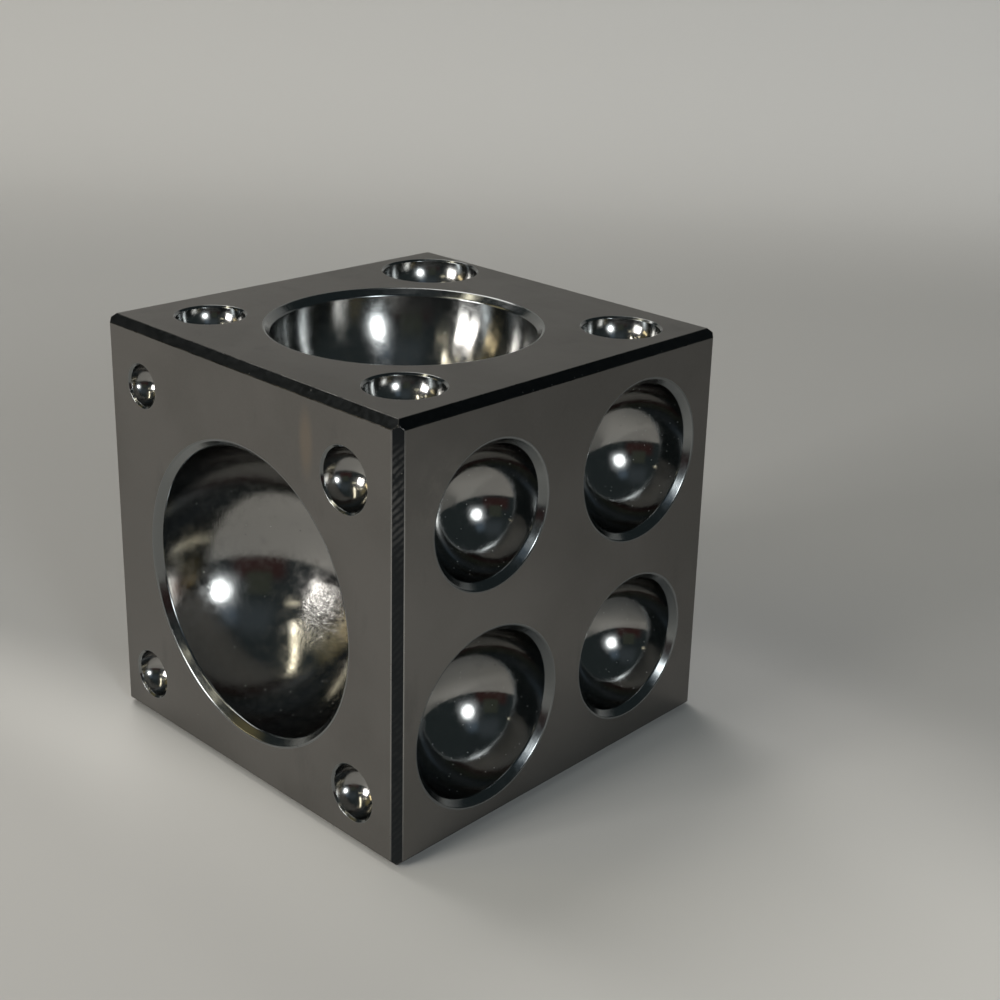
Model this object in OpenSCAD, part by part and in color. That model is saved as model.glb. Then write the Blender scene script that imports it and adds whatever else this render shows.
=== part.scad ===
// Cube dapping block: one solid block of hardened steel with hemispherical dies on all six faces.
// Millimetres, +Z up, origin at the centre of the face that it rests on. The front face is -Y.
// Each die is a ball of the named diameter sunk to half its depth, with a bevelled lip at the mouth.

/* [Block] */
// Edge length of the cube
block = 65; // [64:0.5:80]
// Leg of the 45 degree chamfer along all twelve edges
edge_chamfer = 1.2; // [0.4:0.1:1.6]
// Leg of the 45 degree lip at the mouth of each main die
main_lip = 1; // [0.3:0.1:1.5]
// Leg of the finer lip at the mouth of each corner die
corner_lip = 0.3; // [0.1:0.1:0.6]

/* [Front face] */
// Ball diameter of the large front die
front_main_d = 43.5; // [36:0.5:44]
// How far the large front die sits below the middle, for a bare land above it
front_main_drop = 2.3; // [1:0.1:3]
// Ball diameter of the upper left corner die
front_upper_left_d = 6.3; // [4:0.1:8]
// Its distance from the left edge
front_upper_left_side = 8.8; // [7:0.1:10]
// Its distance from the top edge
front_upper_left_rise = 9.3; // [7:0.1:10]
// Ball diameter of the upper right corner die
front_upper_right_d = 8.9; // [6:0.1:10]
// Its distance from the right edge
front_upper_right_side = 10.5; // [8:0.1:11]
// Its distance from the top edge
front_upper_right_rise = 10.6; // [8:0.1:11]
// Ball diameter of the lower left corner die
front_lower_left_d = 7.3; // [5:0.1:8]
// Its distance from the left edge
front_lower_left_side = 7.8; // [7:0.1:8.5]
// Its distance from the bottom edge
front_lower_left_rise = 7.8; // [7:0.1:8.5]
// Ball diameter of the lower right corner die
front_lower_right_d = 8.1; // [6:0.1:9]
// Its distance from the right edge
front_lower_right_side = 9.3; // [7.5:0.1:9.5]
// Its distance from the bottom edge
front_lower_right_rise = 8.3; // [7.5:0.1:9]

/* [Top face] */
// Ball diameter of the large top die
top_main_d = 39.5; // [34:0.5:41]
// How far the large top die sits in front of the middle, for a bare land behind it
top_main_shift = 2.2; // [1:0.1:3]
// Ball diameter of the back left corner die
top_back_left_d = 15.6; // [10:0.1:16]
// Its distance from the left edge
top_back_left_side = 11.3; // [10:0.1:12]
// Its distance from the back edge
top_back_left_depth = 10; // [10:0.1:12]
// Ball diameter of the back right corner die
top_back_right_d = 11.9; // [8:0.1:14]
// Its distance from the right edge
top_back_right_side = 10.1; // [9:0.1:12]
// Its distance from the back edge
top_back_right_depth = 11.1; // [9:0.1:12]
// Ball diameter of the front left corner die
top_front_left_d = 10.1; // [7:0.1:11]
// Its distance from the left edge
top_front_left_side = 10.6; // [8.5:0.1:11]
// Its distance from the front edge
top_front_left_depth = 11.2; // [8.5:0.1:11.4]
// Ball diameter of the front right corner die
top_front_right_d = 11; // [8:0.1:11.5]
// Its distance from the right edge
top_front_right_side = 10.5; // [9:0.1:11]
// Its distance from the front edge
top_front_right_depth = 10.5; // [9:0.1:11]

/* [Right face] */
// Distance between the middles of neighbouring dies
right_pitch = 30.7; // [29:0.1:32]
// Ball diameter of the upper front die
right_upper_front_d = 19.6; // [16:0.1:24]
// Ball diameter of the upper back die
right_upper_back_d = 23.1; // [18:0.1:25]
// Ball diameter of the lower front die
right_lower_front_d = 25.2; // [20:0.1:26]
// Ball diameter of the lower back die
right_lower_back_d = 21.5; // [18:0.1:24]

/* [Left face] */
// Distance between the middles of neighbouring dies
left_pitch = 30.7; // [29:0.1:31.5]
// Ball diameter of the upper back die
left_upper_back_d = 14.8; // [10:0.1:20]
// Ball diameter of the lower front die
left_lower_front_d = 16.6; // [12:0.1:21]
// Ball diameter of the upper front die
left_upper_front_d = 18.1; // [14:0.1:22]
// Ball diameter of the lower back die
left_lower_back_d = 27.3; // [22:0.1:28]

/* [Back face] */
// Ball diameter of the large back die
back_main_d = 35.5; // [30:0.5:38]
// Distance of each corner die from both edges of the block
back_corner_inset = 8.5; // [7:0.1:10]
// Ball diameter of the upper left corner die, seen from behind
back_upper_left_d = 2.7; // [2:0.1:4]
// Ball diameter of the upper right corner die
back_upper_right_d = 3.6; // [2.5:0.1:5]
// Ball diameter of the lower right corner die
back_lower_right_d = 4.5; // [3:0.1:6]
// Ball diameter of the lower left corner die
back_lower_left_d = 5.4; // [4:0.1:7]

/* [Base face] */
// Ball diameter of the large die in the base
base_main_d = 31.5; // [26:0.5:34]
// Distance of each corner die from both edges of the block
base_corner_inset = 11; // [9.5:0.1:12]
// Ball diameter of the front corner die on the left
base_front_left_d = 12.9; // [10:0.1:14]
// Ball diameter of the back corner die on the right
base_back_right_d = 13.9; // [10:0.1:15]

/* [Hidden] */
$fn = 96;
half = block / 2;
middle = [0, 0, half];
steel = [0.36, 0.35, 0.34];

// Cube with its edges chamfered and the chamfers mitred at the corners, centred on the origin.
module chamfered_cube(edge, leg) {
    reach = edge / 2;
    flat = reach - leg;
    outline = [
        [flat, -reach], [reach, -flat], [reach, flat], [flat, reach],
        [-flat, reach], [-reach, flat], [-reach, -flat], [-flat, -reach]
    ];
    intersection() {
        linear_extrude(edge, center = true) polygon(outline);
        rotate([90, 0, 0]) linear_extrude(edge, center = true) polygon(outline);
        rotate([0, 90, 0]) linear_extrude(edge, center = true) polygon(outline);
    }
}

// Cutter for one die at [across, up] on a face whose outside is +Z: the ball, and the cone of its lip.
// The throat is the ball's radius where the lip meets it, one leg down. The cone runs on past both
// ends of the lip, so that it crosses the ball and the face cleanly.
module die(ball_d, across, up, lip) {
    throat = sqrt(pow(ball_d / 2, 2) - pow(lip, 2));
    run_on = lip / 2;
    translate([across, up, 0]) {
        sphere(d = ball_d);
        translate([0, 0, -lip - run_on])
            cylinder(h = lip + 2 * run_on, r1 = throat - run_on, r2 = throat + lip + run_on);
    }
}

// Puts a cutter drawn on the plane z = 0 onto one face: across runs to the right and up runs upwards,
// as someone sees them who looks at that face from outside. The base is seen with its front edge up.
module on_face(turn) {
    translate(middle) rotate(turn) translate([0, 0, half]) children();
}

module front_dies() {
    on_face([90, 0, 0]) {
        die(front_main_d, 0, -front_main_drop, main_lip);
        die(front_upper_left_d, front_upper_left_side - half, half - front_upper_left_rise, corner_lip);
        die(front_upper_right_d, half - front_upper_right_side, half - front_upper_right_rise, corner_lip);
        die(front_lower_left_d, front_lower_left_side - half, front_lower_left_rise - half, corner_lip);
        die(front_lower_right_d, half - front_lower_right_side, front_lower_right_rise - half, corner_lip);
    }
}

module top_dies() {
    on_face([0, 0, 0]) {
        die(top_main_d, 0, -top_main_shift, main_lip);
        die(top_back_left_d, top_back_left_side - half, half - top_back_left_depth, corner_lip);
        die(top_back_right_d, half - top_back_right_side, half - top_back_right_depth, corner_lip);
        die(top_front_left_d, top_front_left_side - half, top_front_left_depth - half, corner_lip);
        die(top_front_right_d, half - top_front_right_side, top_front_right_depth - half, corner_lip);
    }
}

// Four main dies in a square, named from the upper left one round clockwise.
module four_dies(pitch, upper_left_d, upper_right_d, lower_right_d, lower_left_d) {
    step = pitch / 2;
    die(upper_left_d, -step, step, main_lip);
    die(upper_right_d, step, step, main_lip);
    die(lower_right_d, step, -step, main_lip);
    die(lower_left_d, -step, -step, main_lip);
}

module right_dies() {
    on_face([90, 0, 90])
        four_dies(right_pitch, right_upper_front_d, right_upper_back_d,
                  right_lower_back_d, right_lower_front_d);
}

module left_dies() {
    on_face([90, 0, -90])
        four_dies(left_pitch, left_upper_back_d, left_upper_front_d,
                  left_lower_front_d, left_lower_back_d);
}

module back_dies() {
    corner = half - back_corner_inset;
    on_face([90, 0, 180]) {
        die(back_main_d, 0, 0, main_lip);
        die(back_upper_left_d, -corner, corner, corner_lip);
        die(back_upper_right_d, corner, corner, corner_lip);
        die(back_lower_right_d, corner, -corner, corner_lip);
        die(back_lower_left_d, -corner, -corner, corner_lip);
    }
}

module base_dies() {
    corner = half - base_corner_inset;
    on_face([180, 0, 0]) {
        die(base_main_d, 0, 0, main_lip);
        die(base_front_left_d, -corner, corner, corner_lip);
        die(base_back_right_d, corner, -corner, corner_lip);
    }
}

module block() {
    color(steel)
        difference() {
            translate(middle) chamfered_cube(block, edge_chamfer);
            front_dies();
            top_dies();
            right_dies();
            left_dies();
            back_dies();
            base_dies();
        }
}

block();
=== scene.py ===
"""A cube dapping block of hardened steel on a pale sheet with light painted around the block, in soft window
light.

Lengths are in millimetres with +Z up and the front face on -Y, and become metres where a mesh is made.
Directions seen from the block are an azimuth, 0 towards -Y and 90 towards +X, and an elevation, in degrees.
"""
import math

import bmesh
import bpy
from mathutils import Euler, Matrix, Vector
from mathutils.geometry import tessellate_polygon


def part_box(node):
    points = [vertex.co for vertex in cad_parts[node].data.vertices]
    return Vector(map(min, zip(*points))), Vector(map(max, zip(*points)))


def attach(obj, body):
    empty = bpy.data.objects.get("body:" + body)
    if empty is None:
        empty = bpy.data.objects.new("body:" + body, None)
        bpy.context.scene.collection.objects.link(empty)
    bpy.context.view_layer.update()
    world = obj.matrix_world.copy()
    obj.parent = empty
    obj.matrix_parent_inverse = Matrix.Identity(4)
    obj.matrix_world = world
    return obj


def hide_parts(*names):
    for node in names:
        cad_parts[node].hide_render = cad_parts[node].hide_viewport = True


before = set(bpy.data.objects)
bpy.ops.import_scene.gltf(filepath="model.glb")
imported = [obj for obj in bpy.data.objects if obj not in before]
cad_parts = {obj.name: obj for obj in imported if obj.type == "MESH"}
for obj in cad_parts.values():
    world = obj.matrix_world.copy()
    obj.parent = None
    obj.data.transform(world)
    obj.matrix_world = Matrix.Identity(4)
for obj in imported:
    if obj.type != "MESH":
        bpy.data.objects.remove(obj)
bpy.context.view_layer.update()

MM = 0.001
CAD_LOW, CAD_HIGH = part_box("block")
HALF = (CAD_HIGH[0] - CAD_LOW[0]) / 2 / MM

# The block's own sizes, as its source gives them.
CHAMFER = 1.2
MAIN_LIP = 1.0
CORNER_LIP = 0.3
# The roundings that this scene adds to its edges.
EDGE_ROUND = 0.09
MAIN_LIP_ROUND = 0.55
CORNER_LIP_ROUND = 0.12

# The photograph's camera. Its frame is 1000 x 1000 pixels.
FRAME_PIXELS = 1000
FOCAL_PIXELS = 1567.5
PRINCIPAL_X, PRINCIPAL_Y = 596.5, 397.7
CAMERA_PLACE = (168.9, -154.2, 130.6)
CAMERA_TILT, CAMERA_ROLL, CAMERA_HEADING = 71.359, -2.533, 41.502
SENSOR_WIDTH = 36.0


class Graph:
    """A node tree, with a short call for each kind of node that this scene uses."""

    def __init__(self, tree):
        self.tree = tree
        tree.nodes.clear()

    def add(self, kind, inputs=None, **settings):
        made = self.tree.nodes.new("ShaderNode" + kind)
        for name, value in settings.items():
            setattr(made, name, value)
        for name, value in (inputs or {}).items():
            if isinstance(value, bpy.types.NodeSocket):
                self.tree.links.new(value, made.inputs[name])
            else:
                made.inputs[name].default_value = value
        return made

    def math(self, operation, a, b=0.0, c=0.0):
        return self.add("Math", {0: a, 1: b, 2: c}, operation=operation).outputs[0]

    def vector(self, operation, a, b=(0, 0, 0)):
        return self.add("VectorMath", {0: a, 1: b}, operation=operation).outputs[0]

    def vector_length(self, a):
        return self.add("VectorMath", {0: a}, operation="LENGTH").outputs["Value"]

    def ramp(self, value, low, high, to_low=0.0, to_high=1.0, smooth=True):
        """value taken from the range low to high over to to_low to to_high, and held there outside it."""
        kind = "SMOOTHSTEP" if smooth else "LINEAR"
        ends = {"From Min": low, "From Max": high, "To Min": to_low, "To Max": to_high}
        return self.add("MapRange", {"Value": value, **ends}, interpolation_type=kind).outputs["Result"]

    def mix(self, factor, a, b):
        """Colour a where factor is 0 and colour b where it is 1."""
        made = self.add("Mix", data_type="RGBA")
        pairs = ((made.inputs["Factor"], factor), (made.inputs[6], a), (made.inputs[7], b))
        for socket, value in pairs:
            if isinstance(value, bpy.types.NodeSocket):
                self.tree.links.new(value, socket)
            else:
                socket.default_value = value if socket == made.inputs["Factor"] else (*value, 1)
        return made.outputs[2]

    def noise(self, place, scale, detail=2.0, roughness=0.5):
        names = {"Vector": place, "Scale": scale, "Detail": detail, "Roughness": roughness}
        return self.add("TexNoise", names).outputs["Fac"]

    def cells(self, place, scale):
        return self.add("TexVoronoi", {"Vector": place, "Scale": scale})

    def bump(self, height, distance, normal=None):
        names = {"Height": height, "Distance": distance, "Strength": 1.0}
        if normal is not None:
            names["Normal"] = normal
        return self.add("Bump", names).outputs["Normal"]

    def stretched(self, place, x, y, z):
        return self.vector("MULTIPLY", place, (x, y, z))

    def parts(self, place):
        """The x, y and z of a vector."""
        return list(self.add("SeparateXYZ", {0: place}).outputs)

    def dot(self, a, b):
        return self.add("VectorMath", {0: a, 1: b}, operation="DOT_PRODUCT").outputs["Value"]


def direction(azimuth, elevation):
    a, e = math.radians(azimuth), math.radians(elevation)
    return Vector((math.sin(a) * math.cos(e), -math.cos(a) * math.cos(e), math.sin(e)))


# Camera


def photograph_camera():
    data = bpy.data.cameras.new("camera")
    data.sensor_width = SENSOR_WIDTH
    data.lens = FOCAL_PIXELS / FRAME_PIXELS * SENSOR_WIDTH
    data.shift_x = (FRAME_PIXELS / 2 - PRINCIPAL_X) / FRAME_PIXELS
    data.shift_y = (PRINCIPAL_Y - FRAME_PIXELS / 2) / FRAME_PIXELS
    data.clip_start = 0.01
    camera = bpy.data.objects.new("camera", data)
    camera.location = Vector(CAMERA_PLACE) * MM
    turns = (math.radians(t) for t in (CAMERA_TILT, CAMERA_ROLL, CAMERA_HEADING))
    camera.rotation_euler = Euler(turns)
    bpy.context.scene.collection.objects.link(camera)
    bpy.context.scene.camera = camera


photograph_camera()

# The dies. Each is (ball diameter, across, up, lip) from the middle of its face, seen from outside.

FRONT_DIES = (
    (43.5, 0, -2.3, MAIN_LIP),
    (6.3, 8.8 - HALF, HALF - 9.3, CORNER_LIP),
    (8.9, HALF - 10.5, HALF - 10.6, CORNER_LIP),
    (7.3, 7.8 - HALF, 7.8 - HALF, CORNER_LIP),
    (8.1, HALF - 9.3, 8.3 - HALF, CORNER_LIP),
)
TOP_DIES = (
    (39.5, 0, -2.2, MAIN_LIP),
    (15.6, 11.3 - HALF, HALF - 10, CORNER_LIP),
    (11.9, HALF - 10.1, HALF - 11.1, CORNER_LIP),
    (10.1, 10.6 - HALF, 11.2 - HALF, CORNER_LIP),
    (11, HALF - 10.5, 10.5 - HALF, CORNER_LIP),
)


def four_dies(pitch, upper_left, upper_right, lower_right, lower_left):
    step = pitch / 2
    return (
        (upper_left, -step, step, MAIN_LIP),
        (upper_right, step, step, MAIN_LIP),
        (lower_right, step, -step, MAIN_LIP),
        (lower_left, -step, -step, MAIN_LIP),
    )


RIGHT_DIES = four_dies(30.7, 19.6, 23.1, 21.5, 25.2)
LEFT_DIES = four_dies(30.7, 14.8, 18.1, 16.6, 27.3)
BACK_CORNER = HALF - 8.5
BACK_DIES = (
    (35.5, 0, 0, MAIN_LIP),
    (2.7, -BACK_CORNER, BACK_CORNER, CORNER_LIP),
    (3.6, BACK_CORNER, BACK_CORNER, CORNER_LIP),
    (4.5, BACK_CORNER, -BACK_CORNER, CORNER_LIP),
    (5.4, -BACK_CORNER, -BACK_CORNER, CORNER_LIP),
)
BASE_CORNER = HALF - 11
BASE_DIES = (
    (31.5, 0, 0, MAIN_LIP),
    (12.9, -BASE_CORNER, BASE_CORNER, CORNER_LIP),
    (13.9, BASE_CORNER, -BASE_CORNER, CORNER_LIP),
)
GROUND, EDGE, CHAMFERED, LIP, FRONT_DIE, TOP_DIE, SIDE_DIE, SMALL_DIE = range(8)
FACES = (
    (Vector((1, 0, 0)), Vector((0, 0, 1)), FRONT_DIES, FRONT_DIE),
    (Vector((1, 0, 0)), Vector((0, 1, 0)), TOP_DIES, TOP_DIE),
    (Vector((0, 1, 0)), Vector((0, 0, 1)), RIGHT_DIES, SIDE_DIE),
    (Vector((0, -1, 0)), Vector((0, 0, 1)), LEFT_DIES, SIDE_DIE),
    (Vector((-1, 0, 0)), Vector((0, 0, 1)), BACK_DIES, SIDE_DIE),
    (Vector((1, 0, 0)), Vector((0, -1, 0)), BASE_DIES, TOP_DIE),
)


# Steps along the rounding outside and the rounding inside a lip, and the bands of faces that they bound.
OUTER_ROUND_STEPS = 4
INNER_ROUND_STEPS = 5
LIP_BANDS = OUTER_ROUND_STEPS + INNER_ROUND_STEPS - 1
# Segments round a die and rings down it: of a large die, another main die and a corner die.
LARGE_BALL = 30
LARGE_DETAIL, MAIN_DETAIL, CORNER_DETAIL = (144, 34), (112, 26), (64, 14)
# How far apart the dies lie in their own noise.
NOISE_STRIDE = 100


class Skin:
    """The block's surface while it is built: a bmesh with the exact normal of every vertex."""

    def __init__(self):
        self.bm = bmesh.new()
        self.normals = {}
        self.place = self.bm.verts.layers.float_vector.new("die_place")
        self.depth = self.bm.verts.layers.float.new("die_depth")

    def vertex(self, point, normal, die_place=(0, 0, 0), depth=0.0):
        made = self.bm.verts.new(point)
        made[self.place] = die_place
        made[self.depth] = depth
        self.normals[made] = normal
        return made

    def face(self, corners, material):
        made = self.bm.faces.new(corners)
        made.material_index = material
        made.smooth = True


def rounded_shell(skin):
    """The chamfered cube centred on the origin, with softly rounded edges. Returns its six large faces."""
    bm = skin.bm
    flat = HALF - CHAMFER
    mitre = HALF - CHAMFER / 2
    signs = [(x, y, z) for x in (-1, 1) for y in (-1, 1) for z in (-1, 1)]
    corners = ((HALF, flat, flat), (flat, HALF, flat), (flat, flat, HALF), (mitre, mitre, mitre))
    for sign in signs:
        for corner in corners:
            bm.verts.new([s * c for s, c in zip(sign, corner)])
    bmesh.ops.convex_hull(bm, input=bm.verts[:])
    bmesh.ops.dissolve_limit(bm, angle_limit=math.radians(1), verts=bm.verts[:], edges=bm.edges[:])
    bmesh.ops.bevel(bm, geom=bm.edges[:], offset=EDGE_ROUND, segments=3, profile=0.5, affect="EDGES")
    bm.normal_update()
    for face in bm.faces:
        face.material_index = EDGE
        face.smooth = True
    for vert in bm.verts:
        skin.normals[vert] = vert.normal.copy()
    # The eighteen largest are the twelve chamfers and then the cube's six faces.
    large = sorted(bm.faces, key=lambda face: face.calc_area())[-18:]
    for face in large:
        face.material_index = CHAMFERED
        for vert in face.verts:
            skin.normals[vert] = face.normal.copy()
    return large[-6:]


def die_profile(ball, lip, soft, rings):
    """Half the section of a die as (radius, height, turn) from the mouth inwards.

    turn is the angle between the surface's normal and the face's. The lip is a 45 degree cone, and its
    two edges are rounded by the radius soft.
    """
    bowl = ball / 2
    mouth = math.sqrt(bowl ** 2 - lip ** 2) + lip
    tangent = soft * math.tan(math.radians(22.5))
    lean = math.radians(45)
    points = []
    for step in range(OUTER_ROUND_STEPS):
        turn = lean * step / (OUTER_ROUND_STEPS - 1)
        points.append((mouth + tangent - soft * math.sin(turn), soft * (math.cos(turn) - 1), turn))
    reach = mouth + math.sqrt(2) * soft
    depth = (math.sqrt(2 * (bowl + soft) ** 2 - reach ** 2) - reach) / 2
    across = depth + reach
    last = math.atan2(across, -depth)
    for step in range(INNER_ROUND_STEPS):
        turn = lean + (last - lean) * step / (INNER_ROUND_STEPS - 1)
        points.append((across - soft * math.sin(turn), depth + soft * math.cos(turn), turn))
    for ring in range(1, rings):
        turn = last * (1 - ring / rings)
        points.append((bowl * math.sin(turn), -bowl * math.cos(turn), turn))
    return points, -bowl


def add_die(skin, middle, across, up, die, count, finish):
    """Adds one die's surface and returns the ring of vertices at its mouth.

    count is the die's number, which gives it a place of its own in the noise.
    """
    ball, right, rise, lip = die
    outward = across.cross(up)
    centre = middle + right * across + rise * up
    main = lip == MAIN_LIP
    segments, rings = LARGE_DETAIL if ball > LARGE_BALL else MAIN_DETAIL if main else CORNER_DETAIL
    profile, bottom = die_profile(ball, lip, MAIN_LIP_ROUND if main else CORNER_LIP_ROUND, rings)
    shift = NOISE_STRIDE * count
    bowl = finish if main else SMALL_DIE
    loops = []
    for radius, height, turn in profile:
        loop = []
        for step in range(segments):
            angle = 2 * math.pi * step / segments
            radial = math.cos(angle) * across + math.sin(angle) * up
            point = centre + radius * radial + height * outward
            normal = math.cos(turn) * outward - math.sin(turn) * radial
            own = (radius * math.cos(angle), radius * math.sin(angle), height + shift)
            loop.append(skin.vertex(point, normal, own, -2 * height / ball))
        loops.append(loop)
    for index, (outer, inner) in enumerate(zip(loops, loops[1:])):
        material = LIP if main and index < LIP_BANDS else bowl
        for step in range(segments):
            after = (step + 1) % segments
            skin.face((outer[step], outer[after], inner[after], inner[step]), material)
    pole = skin.vertex(centre + bottom * outward, outward, (0, 0, bottom + shift), 1.0)
    for step in range(segments):
        skin.face((loops[-1][step], loops[-1][(step + 1) % segments], pole), bowl)
    return loops[0]


def pierced_face(skin, face, across, up, mouths):
    """Replaces one large face by triangles that leave the dies' mouths open."""
    outward = across.cross(up)
    outlines = [list(face.verts), *mouths]
    flat = [[Vector((v.co.dot(across), v.co.dot(up), 0)) for v in outline] for outline in outlines]
    verts = [v for outline in outlines for v in outline]
    bmesh.ops.delete(skin.bm, geom=[face], context="FACES_ONLY")
    for triangle in tessellate_polygon(flat):
        a, b, c = (verts[i] for i in triangle)
        if (b.co - a.co).cross(c.co - a.co).dot(outward) < 0:
            b, c = c, b
        skin.face((a, b, c), GROUND)


def build_block():
    skin = Skin()
    large = rounded_shell(skin)
    count = 0
    for across, up, dies, finish in FACES:
        outward = across.cross(up)
        mouths = []
        for die in dies:
            mouths.append(add_die(skin, HALF * outward, across, up, die, count, finish))
            count += 1
        face = next(f for f in large if f.is_valid and f.normal.dot(outward) > 0.9)
        pierced_face(skin, face, across, up, mouths)
    skin.bm.verts.index_update()
    middle = Vector((0, 0, HALF))
    for vert in skin.bm.verts:
        vert.co = (vert.co + middle) * MM
    normals = [skin.normals[vert] for vert in skin.bm.verts]
    mesh = bpy.data.meshes.new("block_steel")
    skin.bm.to_mesh(mesh)
    skin.bm.free()
    mesh.normals_split_custom_set_from_vertices(normals)
    block = bpy.data.objects.new("block_steel", mesh)
    bpy.context.scene.collection.objects.link(block)
    return block


# Materials. Node coordinates are in metres, so a scale of 1000 is a pattern about a millimetre across.
# die_place is in millimetres, and die_depth runs from 0 at a die's mouth to 1 at its bottom.

DUST = (0.62, 0.62, 0.6)
# Places of single marks, in millimetres: a cloudy patch on the right face, a painted warm reflection beside
# the front's upper right die, and in the front die a dull zone, a painted warm reflection that darkens its
# right wall, and a pitted patch.
CLOUDY_PATCH = (HALF, -25, 53.5)
PAINTED_WARM_REFLECTION = (14.4, -HALF, 57.5)
DULLED_ZONE = (-4.9, -13.3, 21.0)
PAINTED_WALL_REFLECTION = (17.3, -19.5, 28.5)
PITTED_PATCH = (-2.8, -14.6, 18.6)
# The distance, in metres, from one oblique cutter mark on the upright chamfers to the next.
CHATTER_PITCH = 0.0011


def steel(name, colour, roughness, normal, dust=None, grazing=1.0, brushed=0.0):
    """A metal whose colour, roughness and normal come from functions of (graph, place), and dust on it.

    grazing is how bright its reflection is at a glancing angle, from 0 to 1. brushed is how far polishing
    lines round the upright axis draw the reflections out along the slope, from 0 to 1.
    """
    material = bpy.data.materials.new(name)
    material.use_nodes = True
    graph = Graph(material.node_tree)
    place = graph.add("TexCoord").outputs["Object"]
    base, rough, metal = colour(graph, place), roughness(graph, place), 1.0
    if dust:
        flecks = dust(graph, place)
        base = graph.mix(flecks, base, DUST)
        rough = graph.math("MAXIMUM", rough, flecks)
        metal = graph.math("SUBTRACT", 1.0, flecks)
    made = {"Base Color": base, "Roughness": rough, "Metallic": metal, "Normal": normal(graph, place)}
    shader = graph.add("BsdfPrincipled", made)
    shader.inputs["Specular Tint"].default_value = (grazing, grazing, grazing, 1)
    if brushed:
        shader.inputs["Anisotropic"].default_value = brushed
        shader.inputs["Anisotropic Rotation"].default_value = 0.25
        tangent = graph.add("Tangent", direction_type="RADIAL", axis="Z")
        graph.tree.links.new(tangent.outputs["Tangent"], shader.inputs["Tangent"])
    graph.add("OutputMaterial", {"Surface": shader.outputs["BSDF"]})
    return material


def near(graph, place, centre, inner, outer):
    """1 within inner millimetres of a point of the block, falling to 0 at outer."""
    point = tuple(c * MM for c in centre)
    far = graph.add("VectorMath", {0: place, 1: point}, operation="DISTANCE").outputs["Value"]
    return graph.ramp(far, inner * MM, outer * MM, 1, 0)


def specks(graph, place, scale, size, share):
    """1 on small round specks, one in each cell of the given share of the cells. size is in cells."""
    cell = graph.cells(place, scale)
    picked = graph.add("SeparateColor", {0: cell.outputs["Color"]}).outputs["Red"]
    spot = graph.ramp(cell.outputs["Distance"], size * 0.6, size, 1, 0)
    return graph.math("MULTIPLY", spot, graph.math("LESS_THAN", picked, share))


def ground_colour(graph, place):
    patches = graph.ramp(graph.noise(place, 55, 3.0), 0.35, 0.65)
    even = graph.mix(patches, (0.173, 0.167, 0.159), (0.198, 0.191, 0.183))
    streaky = graph.noise(graph.stretched(place, 160, 160, 60), 1.0, 4.0, 0.6)
    smudge = graph.ramp(streaky, 0.58, 0.75, 0, 0.5)
    marked = graph.mix(smudge, even, (0.13, 0.128, 0.124))
    grain = graph.ramp(graph.noise(place, 2600, 3.0, 0.7), 0.35, 0.75, 0, 0.25)
    ground = graph.mix(grain, marked, (0.21, 0.205, 0.197))
    cloudy = graph.ramp(graph.noise(place, 330, 4.0, 0.65), 0.4, 0.64, 0, 0.4)
    cloud = graph.math("MULTIPLY", cloudy, near(graph, place, CLOUDY_PATCH, 2, 8))
    ground = graph.mix(cloud, ground, (0.27, 0.26, 0.242))
    # Painted reflection: a paler, warm, upright streak beside the front's upper right die.
    from_painted_reflection = graph.vector("SUBTRACT", place, tuple(c * MM for c in PAINTED_WARM_REFLECTION))
    upright = graph.stretched(from_painted_reflection, 1.9, 1, 0.55)
    tinted = graph.ramp(graph.vector_length(upright), 0.001, 0.0036, 0.6, 0)
    return graph.mix(tinted, ground, (0.27, 0.225, 0.178))


def ground_dust(graph, place):
    return graph.math("MULTIPLY", specks(graph, place, 230, 0.024, 0.35), 0.6)


def ground_roughness(graph, place):
    return graph.ramp(graph.noise(place, 120, 4.0, 0.6), 0.3, 0.7, 0.29, 0.34)


def ground_normal(graph, place):
    return graph.bump(graph.noise(place, 5200, 2.0, 0.6), 0.0000007)


def edge_colour(graph, place):
    """Worn film on the level edges and bare steel on the upright ones, whose normals are level."""
    worn = graph.ramp(graph.noise(place, 420, 3.0, 0.6), 0.42, 0.62)
    edge = graph.mix(worn, (0.035, 0.035, 0.034), (0.075, 0.074, 0.071))
    lean = graph.math("ABSOLUTE", graph.parts(graph.add("TexCoord").outputs["Normal"])[2])
    return graph.mix(graph.ramp(lean, 0.02, 0.06, 1, 0), edge, (0.35, 0.346, 0.338))


def edge_roughness(graph, place):
    return graph.ramp(graph.noise(place, 900, 2.0), 0.3, 0.7, 0.26, 0.4)


def edge_normal(graph, place):
    return graph.bump(graph.noise(place, 2200, 3.0), 0.000004)


def chatter(graph, place):
    """The oblique marks that the cutter left on the upright chamfers, strong some way below the top."""
    x, y, z = graph.parts(place)
    slant = graph.math("MULTIPLY_ADD", graph.math("ADD", x, y), -0.8, z)
    wobble = graph.math("MULTIPLY_ADD", graph.noise(place, 260, 3.0, 0.6), 0.0016, slant)
    wave = graph.math("SINE", graph.math("MULTIPLY", wobble, 2 * math.pi / CHATTER_PITCH))
    below, above = graph.ramp(z, 0.044, 0.054, 0.1, 1.0), graph.ramp(z, 0.0585, 0.0632, 1, 0)
    patchy = graph.ramp(graph.noise(place, 700, 3.0, 0.6), 0.35, 0.6, 0.15, 1.0)
    bitten = graph.math("MULTIPLY", graph.math("MULTIPLY", below, above), patchy)
    return graph.math("MULTIPLY", graph.math("MULTIPLY_ADD", wave, 0.5, 0.5), bitten)


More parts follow.
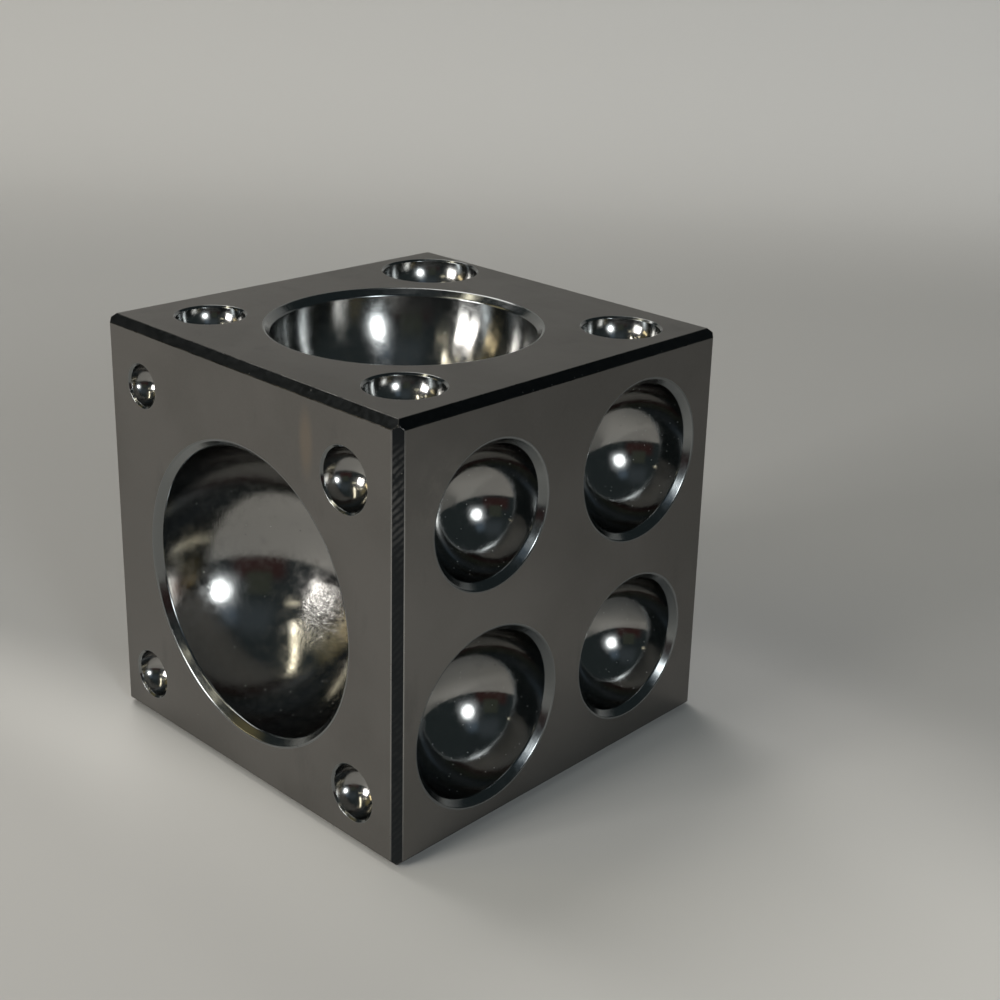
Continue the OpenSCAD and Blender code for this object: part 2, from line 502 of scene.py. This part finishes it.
def chamfer_colour(graph, place):
    film = graph.mix(graph.noise(place, 240, 3.0), (0.024, 0.027, 0.03), (0.034, 0.037, 0.04))
    marked = graph.mix(graph.math("MULTIPLY", chatter(graph, place), 0.8), film, (0.15, 0.15, 0.15))
    speckled = graph.mix(specks(graph, place, 900, 0.1, 0.2), marked, (0.2, 0.2, 0.195))
    folded = graph.vector("ABSOLUTE", graph.vector("SUBTRACT", place, (0, 0, HALF * MM)))
    corner = HALF - CHAMFER / 2
    bare = near(graph, folded, (corner, corner, corner), 0.1, 0.3)
    return graph.mix(bare, speckled, (0.3, 0.295, 0.285))


def chamfer_roughness(graph, place):
    return graph.ramp(graph.noise(place, 1500, 3.0), 0.3, 0.7, 0.28, 0.4)


def chamfer_normal(graph, place):
    grain = graph.bump(graph.noise(place, 2600, 2.0), 0.000002)
    return graph.bump(chatter(graph, place), 0.00003, grain)


def die_finish(name, middle, mouth, streaks, waves, dusty, worn=False, brushed=0.0, tone=1.0):
    """A polished die's steel. middle and mouth are the roughness at its bottom and at its mouth.

    streaks and waves are the heights, in metres, of the polishing lines and of the slow unevenness. dusty
    is the share of the dust pattern's cells that hold a fleck. worn adds the front die's wear and a painted
    warm reflection. brushed is as in steel, and tone is how bright the steel is.
    """

    def pitted(graph, place):
        return near(graph, place, PITTED_PATCH, 4.2, 6.6)

    def dulled_and_reflection_painted(graph, place, painted_shade_steel):
        """The front die's dull zone, and a painted warm reflection that darkens and warms its right wall,
        over its colour with the painted shade.
        """
        dull = graph.ramp(graph.noise(place, 1300, 5.0, 0.75), 0.36, 0.6, 0.93, 0.74)
        dulled = graph.math("MULTIPLY", dull, near(graph, place, DULLED_ZONE, 2.6, 6.2))
        dulled_steel = graph.mix(dulled, painted_shade_steel, (0.02, 0.02, 0.019))
        # Painted reflection: the right wall's steel is darkened and tinted warm.
        zone = near(graph, place, PAINTED_WALL_REFLECTION, 1.0, 8.0)
        broken = graph.math("MULTIPLY_ADD", graph.noise(place, 280, 4.0, 0.6), 1.6, -0.8)
        reflection_share = graph.ramp(graph.math("ADD", zone, broken), 0.1, 1.0)
        return graph.mix(graph.math("MULTIPLY", reflection_share, 0.85), dulled_steel, (0.05, 0.03, 0.022))

    def colour(graph, place):
        shades = ((0.295, 0.292, 0.284), (0.33, 0.327, 0.318))
        dark, pale = (tuple(tone * c for c in shade) for shade in shades)
        even = graph.mix(graph.noise(place, 120, 3.0), dark, pale)
        depth = graph.add("Attribute", attribute_name="die_depth").outputs["Fac"]
        # Painted shade: the walls near the mouth are darkened and tinted blue, which dims and cools the
        # reflections in them.
        painted_shade_steel = graph.mix(graph.ramp(depth, 0.05, 0.4, 0.4, 0), even, (0.07, 0.098, 0.115))
        haze = graph.ramp(graph.noise(place, 420, 4.0, 0.6), 0.55, 0.8, 0, 0.35)
        hazy = graph.mix(haze, painted_shade_steel, (0.2, 0.2, 0.198))
        pits = specks(graph, place, 620, 0.075, 0.35)
        if worn:
            hazy = dulled_and_reflection_painted(graph, place, hazy)
            many = graph.math("MULTIPLY", specks(graph, place, 900, 0.26, 0.3), pitted(graph, place))
            pits = graph.math("MAXIMUM", pits, many)
        return graph.mix(pits, hazy, (0.03, 0.029, 0.027))

    def roughness(graph, place):
        depth = graph.add("Attribute", attribute_name="die_depth").outputs["Fac"]
        base = graph.ramp(depth, 0.12, 0.5, mouth, middle)
        cloud = graph.ramp(graph.noise(place, 700, 5.0, 0.7), 0.35, 0.7, -0.02, 0.07)
        rough = graph.math("ADD", base, cloud)
        return graph.math("MULTIPLY_ADD", pitted(graph, place), 0.05, rough) if worn else rough

    def normal(graph, place):
        own = graph.add("Attribute", attribute_name="die_place").outputs["Vector"]
        rings = graph.noise(graph.stretched(own, 0.35, 0.35, 7.0), 1.0, 2.0, 0.6)
        uneven = graph.bump(graph.noise(place, 330, 2.0), waves)
        lined = graph.bump(rings, streaks, uneven)
        if not worn:
            return lined
        rise = graph.math("SUBTRACT", graph.noise(place, 1200, 4.0, 0.7), 0.5)
        return graph.bump(graph.math("MULTIPLY", rise, pitted(graph, place)), 0.00008, lined)

    def dust(graph, place):
        return specks(graph, place, 1150, 0.08, dusty)

    return steel(name, colour, roughness, normal, dust, brushed=brushed)


block = build_block()
for slot_material in (
    steel("ground_steel", ground_colour, ground_roughness, ground_normal, ground_dust, 0.72),
    steel("edge_steel", edge_colour, edge_roughness, edge_normal),
    steel("chamfer_steel", chamfer_colour, chamfer_roughness, chamfer_normal),
    die_finish("lip_steel", 0.155, 0.155, 0.0000015, 0.000009, 0.06, tone=0.95),
    die_finish("front_die_steel", 0.13, 0.12, 0.000004, 0.000015, 0.15, True),
    die_finish("top_die_steel", 0.155, 0.165, 0.000004, 0.000015, 0.06, brushed=0.85),
    die_finish("side_die_steel", 0.088, 0.1, 0.000003, 0.000012, 0.7, tone=0.95),
    die_finish("small_die_steel", 0.13, 0.15, 0.000002, 0.000009, 0.06),
):
    block.data.materials.append(slot_material)
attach(block, "root")
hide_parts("block")

# The sheet that the block stands on, which sweeps up behind it. It is square to the photograph's view.

SHEET_FRONT, SHEET_BACK, SHEET_TOP = 345, -560, 430
SHEET_HALF_WIDTH = 1500
# The sheet's colours. The near colour is painted light, which cancels the block's shadow on the sheet just
# in front of it and along its right side. The front colour is partly a paler cloth and partly painted light.
# The back colours are painted light that brightens the back, most on its right.
SHEET_COLOUR = (0.385, 0.385, 0.379)
SHEET_NEAR_PAINTED_LIGHT = (0.7, 0.694, 0.678)
SHEET_FRONT_COLOUR = (0.545, 0.54, 0.528)
SHEET_BACK_LEFT_COLOUR = (0.515, 0.513, 0.503)
SHEET_BACK_RIGHT_COLOUR = (0.635, 0.634, 0.628)
SWEEP = 180
SHEET_FADE = 100


def sheet_mesh():
    outline = [(SHEET_FRONT, 0), (SHEET_BACK + SWEEP, 0)]
    for step in range(1, 17):
        turn = math.radians(90) * step / 16
        outline.append((SHEET_BACK + SWEEP - SWEEP * math.sin(turn), SWEEP * (1 - math.cos(turn))))
    outline.append((SHEET_BACK, SHEET_TOP))
    towards = Vector((math.sin(math.radians(CAMERA_HEADING)), -math.cos(math.radians(CAMERA_HEADING)), 0))
    sideways = Vector((towards.y, -towards.x, 0))
    bm = bmesh.new()
    rows = []
    for along, height in outline:
        middle = along * towards + Vector((0, 0, height))
        rows.append([bm.verts.new((middle + s * SHEET_HALF_WIDTH * sideways) * MM) for s in (-1, 1)])
    for (a, b), (c, d) in zip(rows, rows[1:]):
        bm.faces.new((a, b, d, c)).smooth = True
    mesh = bpy.data.meshes.new("sheet")
    bm.to_mesh(mesh)
    bm.free()
    return mesh, towards


def sheet_material(towards):
    """Paper with painted light on it, paler before and beside the block, that fades out at its sides and at
    its front end.

    towards points from the block to the camera, level. Distances here are in metres.
    """
    material = bpy.data.materials.new("sheet")
    material.use_nodes = True
    graph = Graph(material.node_tree)
    place = graph.add("TexCoord").outputs["Object"]
    along, across = graph.dot(place, tuple(towards)), graph.dot(place, (towards.y, -towards.x, 0))
    east, north, _ = graph.parts(place)
    south = graph.math("MULTIPLY", north, -1)
    # Painted light: paler close before the block and along its right side, where its shadow falls.
    beside = graph.math("MULTIPLY", graph.ramp(east, 0.0, 0.034), graph.ramp(south, -0.07, -0.012))
    slanted = graph.math("MULTIPLY_ADD", east, 0.3, south)
    close = graph.math("MAXIMUM", beside, graph.ramp(slanted, 0.008, 0.04))
    front = graph.mix(graph.ramp(south, 0.034, 0.06), SHEET_NEAR_PAINTED_LIGHT, SHEET_FRONT_COLOUR)
    tone = graph.mix(close, SHEET_COLOUR, front)
    # Painted light: the back is paler, most on its right.
    leftward = graph.ramp(across, -0.2, 0.3, smooth=False)
    back = graph.mix(leftward, SHEET_BACK_RIGHT_COLOUR, SHEET_BACK_LEFT_COLOUR)
    tone = graph.mix(graph.ramp(along, -0.25, -0.5), tone, back)
    paper = graph.add("BsdfPrincipled", {"Base Color": tone, "Roughness": 0.85})
    gone = graph.add("BsdfTransparent")
    ends = graph.ramp(graph.math("ABSOLUTE", across), 0.7, 1.2)
    fade = graph.math("MAXIMUM", ends, graph.ramp(along, (SHEET_FRONT - SHEET_FADE) * MM, SHEET_FRONT * MM))
    mixed = graph.add("MixShader", {0: fade, 1: paper.outputs["BSDF"], 2: gone.outputs["BSDF"]})
    graph.add("OutputMaterial", {"Surface": mixed.outputs["Shader"]})
    return material


mesh, towards = sheet_mesh()
sheet = bpy.data.objects.new("sheet", mesh)
sheet.data.materials.append(sheet_material(towards))
bpy.context.scene.collection.objects.link(sheet)

# Light: the windows, the lamps of a dim room, and the room itself in the world.

# In metres, from the block's middle.
LAMP_DISTANCE = 1.6
WARM_WHITE, DAY_WHITE = (1.0, 0.965, 0.92), (0.94, 0.985, 1.0)
LAMP_WHITE, GOLD = (1.0, 0.91, 0.68), (1.0, 0.8, 0.45)


def lamp(name, start, end, thickness, colour, radiance, shape="RECTANGLE"):
    """A flat lamp of that radiance from one direction to another, thickness degrees across."""
    a, b = (direction(*way) * LAMP_DISTANCE for way in (start, end))
    along = b - a
    out = ((a + b) / 2).normalized()
    turn = Matrix((along.normalized(), out.cross(along).normalized(), out)).transposed()
    data = bpy.data.lights.new(name, "AREA")
    data.shape = shape
    data.size = along.length
    data.size_y = 2 * LAMP_DISTANCE * math.tan(math.radians(thickness / 2))
    data.color = colour
    area = data.size * data.size_y * (math.pi / 4 if shape == "ELLIPSE" else 1)
    data.energy = radiance * math.pi * area
    made = bpy.data.objects.new(name, data)
    made.matrix_world = Matrix.Translation((a + b) / 2 + Vector((0, 0, HALF * MM))) @ turn.to_4x4()
    made.visible_camera = False
    bpy.context.scene.collection.objects.link(made)


# Each is (name, start, end, thickness, colour, radiance), and a shape where it isn't a rectangle.
for settings in (
    ("left_window_a", (-23.5, 15.5), (-14.5, 15), 17, WARM_WHITE, 16),
    ("left_window_b", (-13, 15), (-3, 15.5), 17, WARM_WHITE, 20),
    ("right_window", (68, 19.5), (80.5, 19.5), 12, DAY_WHITE, 14, "ELLIPSE"),
    ("right_window_rim", (64, 19.5), (84.5, 19.5), 19, DAY_WHITE, 2, "ELLIPSE"),
    ("ceiling_panel", (-125, 55), (-70, 55), 32, WARM_WHITE, 4),
    ("tube_near", (2, 40), (-19, 53), 3.2, LAMP_WHITE, 7),
    ("tube_far", (-19, 53), (-53, 60), 3.2, LAMP_WHITE, 7),
    ("ceiling_bar", (4, 25.5), (16, 28), 2, LAMP_WHITE, 3.2),
    ("far_bar_a", (-31, 31), (-24, 31.5), 1.5, LAMP_WHITE, 8),
    ("far_bar_b", (-20, 38.5), (-12, 37), 1.2, LAMP_WHITE, 5),
    ("far_bar_c", (-5, 45), (2, 41), 1.6, WARM_WHITE, 8),
    ("sconce_a", (-52, 16.5), (-44, 15.5), 4, GOLD, 4.5),
    ("sconce_b", (-43, 14.5), (-35, 14.5), 5, GOLD, 4.5),
):
    lamp(*settings)


ROOM_COLOUR = (0.036, 0.047, 0.049)
# Each is (colour, azimuth, elevation, half width, half height, softness).
ROOM_ZONES = (
    ((0.06, 0.03, 0.028), 42, 3, 20, 9, 5),
    ((0.07, 0.08, 0.062), 42, 16, 10, 9, 2),
    ((0.078, 0.096, 0.106), 44, 44, 18, 12, 9),
    ((0.14, 0.19, 0.24), 72, 38, 9, 8, 6),
    ((0.3, 0.25, 0.12), -48, 31, 12, 8, 7),
    ((1.5, 1.6, 1.65), 74, 19.5, 10, 9, 9),
)
CEILING_COLOUR = (1, 1, 0.98)
# The ceiling's glow begins at the first elevation and is full at the second.
CEILING_GLOW = (74, 87)


def room_world():
    world = bpy.data.worlds.new("room")
    world.use_nodes = True
    graph = Graph(world.node_tree)
    path = graph.add("LightPath").outputs
    x, y, z = graph.parts(graph.add("TexCoord").outputs["Generated"])
    azimuth = graph.math("DEGREES", graph.math("ARCTAN2", x, graph.math("MULTIPLY", y, -1)))
    elevation = graph.math("DEGREES", graph.math("ARCSINE", z))

    def zone(colour, under, azimuth_at, elevation_at, half_width, half_height, soft):
        """colour in a soft-edged box of directions, over what is under it."""
        far = graph.math("ABSOLUTE", graph.math("SUBTRACT", azimuth, azimuth_at))
        high = graph.math("ABSOLUTE", graph.math("SUBTRACT", elevation, elevation_at))
        beside = graph.ramp(far, half_width - soft, half_width + soft, 1, 0)
        level = graph.ramp(high, half_height - soft, half_height + soft, 1, 0)
        return graph.mix(graph.math("MULTIPLY", beside, level), under, colour)

    room = ROOM_COLOUR
    for colour, *box in ROOM_ZONES:
        room = zone(colour, room, *box)
    room = graph.mix(graph.ramp(elevation, *CEILING_GLOW), room, CEILING_COLOUR)
    seen = graph.mix(path["Is Camera Ray"], room, SHEET_COLOUR)
    background = graph.add("Background", {"Color": seen, "Strength": 1.0})
    graph.add("OutputWorld", {"Surface": background.outputs["Background"]})
    bpy.context.scene.world = world


room_world()
bpy.context.scene.view_settings.view_transform = "Standard"
